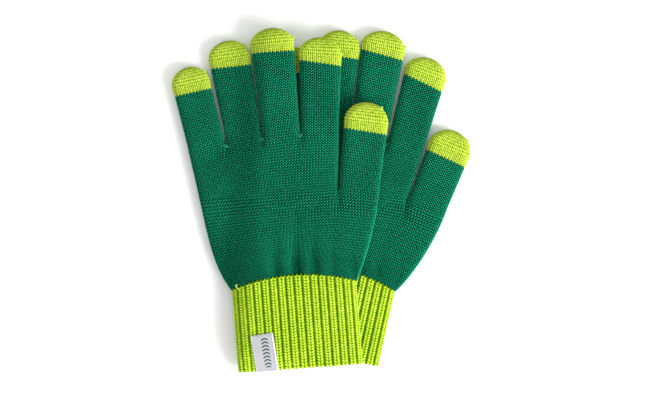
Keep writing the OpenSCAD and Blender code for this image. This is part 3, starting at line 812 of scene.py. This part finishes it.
for hand, g in gloves.items():
    turn = g["cuffTurn"]
    cuff = layCuff(hand + "_rib_cuff", g)
    dress(cuff, ribKnit, [hand + "_cuff"])
    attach(cuff, hand + "_hand")

    handWales, thumbWales = lay["wales"], fingers["thumb"]["wales"]
    upperWidth = abs(fromCuff(g, g["crotch"]) - handLeft(g, lay["split"]))

    def gather(p, d, side):
        ridge = folds["ridge"] * (side > 0) * g["lifted"]
        creased = wrinkles(p, d, turn, dot(g["cuffAt"], across(turn)), ridge)
        return np.interp(d, [-1.5, 0, 1.6, 8], [0.76, 0.9, 0.96, 1]) * creased

    lower = layTube(
        hand + "_palm_knit", g, lambda s, f: onLowerHand(g, s, f),
        handWales + thumbWales, g["handCourses"][0],
        lambda f: abs(handRight(g, f) - handLeft(g, lay["split"] * f)), lay["lowerLength"],
        [(upperWidth, handWales), (fingers["thumb"]["width"], thumbWales)], 14, gather)
    dress(lower, handKnit, [hand + "_lower_hand"])
    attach(lower, hand + "_hand")
    upper = layTube(
        hand + "_knuckle_knit", g, lambda s, f: onUpperHand(g, s, f), handWales, g["handCourses"][1],
        lambda f: abs(onUpperHand(g, 1.0, f) - onUpperHand(g, 0.0, f)), lay["upperLength"],
        [(fingers[n]["width"], fingers[n]["wales"]) for n in reversed(fingerNames[1:])], 10)
    dress(upper, handKnit, [hand + "_upper_hand"])
    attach(upper, hand + "_hand")
    for i, name in enumerate(fingerNames):
        body = hand + "_" + name if name in g["hinged"] else hand + "_hand"
        length = fingerLength(g, i)
        node = hand + "_" + name + ("" if i == 0 else "_finger")
        finger = layTube(
            hand + "_" + name + "_knit", g, lambda s, f: onFinger(g, i, s, f), fingers[name]["wales"],
            round(length / fabric["course"]), lambda f: float(fingerWidth(g, i, f)), length)
        dress(finger, handKnit, [node])
        if name in g["hinged"]:
            base = baseMiddle(g, i)
            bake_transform(finger)
        else:
            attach(finger, body)
        tip = layTip(hand + "_" + name + "_touch_tip", g, i)
        dress(tip, touchKnit, [node.replace("_finger", "") + "_tip"])
        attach(tip, body)
        tied = tieKnot(hand + "_" + name + "_closing_knot", g, i)
        dress(tied, limeYarn, [node.replace("_finger", "") + "_knot"])
        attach(tied, body)
    bands = layElastic(hand + "_elastic_bands", g)
    dress(bands, elasticYarn, [hand + "_cuff_elastic"])
    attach(bands, hand + "_hand")
    tacks = sewTacks(hand + "_crotch_bars", g)
    dress(tacks, greenYarn, [hand + "_crotch_tacks"])
    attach(tacks, hand + "_hand")
    print(hand, "glove knitted")

g = gloves["left"]
satinLabel, labelLength = foldLabel("left_satin_label", g)
dress(satinLabel, satin, ["left_label"])
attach(satinLabel, "left_hand")
labelStitches = sewLabel("left_label_stitches", g)
dress(labelStitches, greyThread, ["left_label_thread"])
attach(labelStitches, "left_hand")

looseYarn = 0.34
looseEnds = {            # cut ends of yarn that were left standing
    "seam": {"at": cuffCorner(g, -1, 1) + across(g["cuffTurn"]) * 5.5,
             "lead": 128, "length": 4.2, "height": 7.2},
    "crotch": {"at": baseLeft(g, 3) - along(g["turns"][3]) * 0.8,
               "lead": -58, "length": 3.6, "height": 4.6},
}
for name, end in looseEnds.items():
    lead = across(end["lead"]) * end["length"]
    z = end["height"] + float(liftOf(np.array(end["at"]), g))
    start = end["at"]
    line = bend([space(start, z), space(start + lead * (0.5 + 0.12j), z + 0.9),
                 space(start + lead, z + 0.6), space(start + lead * (0.72 - 0.3j), z + 0.2)], 14)
    loose = yarnTube("left_" + name + "_loose_end", line, looseYarn)
    loose.data.materials.append(limeYarn if name == "seam" else paleThread)
    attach(loose, "left_hand")
print("label and loose ends sewn on")

# table, light and camera
studio = {
    "lens": 120, "viewWidth": 403, "viewHeight": 8, "lookAt": 2.08 + 0.05j,
    "keyAt": (1.0, -0.62, 0.55), "keySize": 0.85, "keyPower": 35, "worldStrength": 0.9,
    "sensor": 36, "tableHalf": 3, "tableShade": 0.93,
}
bm = bmesh.new()
bmesh.ops.create_grid(bm, x_segments=1, y_segments=1, size=studio["tableHalf"])
floorMesh = bpy.data.meshes.new("table")
bm.to_mesh(floorMesh)
bm.free()
floor = bpy.data.objects.new("table", floorMesh)
bpy.context.scene.collection.objects.link(floor)
floorMaterial, _, floorShader = newMaterial("paleTable")
floorShader.inputs["Base Color"].default_value = [studio["tableShade"]] * 3 + [1]
floorShader.inputs["Roughness"].default_value = 0.8
floorMesh.materials.append(floorMaterial)

key = bpy.data.lights.new("key", "AREA")
key.energy, key.size = studio["keyPower"], studio["keySize"]
keyLamp = bpy.data.objects.new("key", key)
keyLamp.location = studio["keyAt"]
aim = math.atan2(math.hypot(*studio["keyAt"][:2]), studio["keyAt"][2])
keyLamp.rotation_euler = (aim, 0, math.atan2(studio["keyAt"][1], studio["keyAt"][0]) + math.pi / 2)
bpy.context.scene.collection.objects.link(keyLamp)
world = bpy.data.worlds.new("studio")
world.use_nodes = True
world.node_tree.nodes["Background"].inputs[0].default_value = (1, 1, 1, 1)
world.node_tree.nodes["Background"].inputs[1].default_value = studio["worldStrength"]
bpy.context.scene.world = world
bpy.context.scene.view_settings.view_transform = "Standard"

lens = bpy.data.cameras.new("camera")
lens.lens, lens.sensor_width = studio["lens"], studio["sensor"]
camera = bpy.data.objects.new("camera", lens)
distance = studio["viewWidth"] * studio["lens"] / studio["sensor"]
camera.location = point(studio["lookAt"], distance + studio["viewHeight"])
bpy.context.scene.collection.objects.link(camera)
bpy.context.scene.camera = camera
print("table, light and camera set")
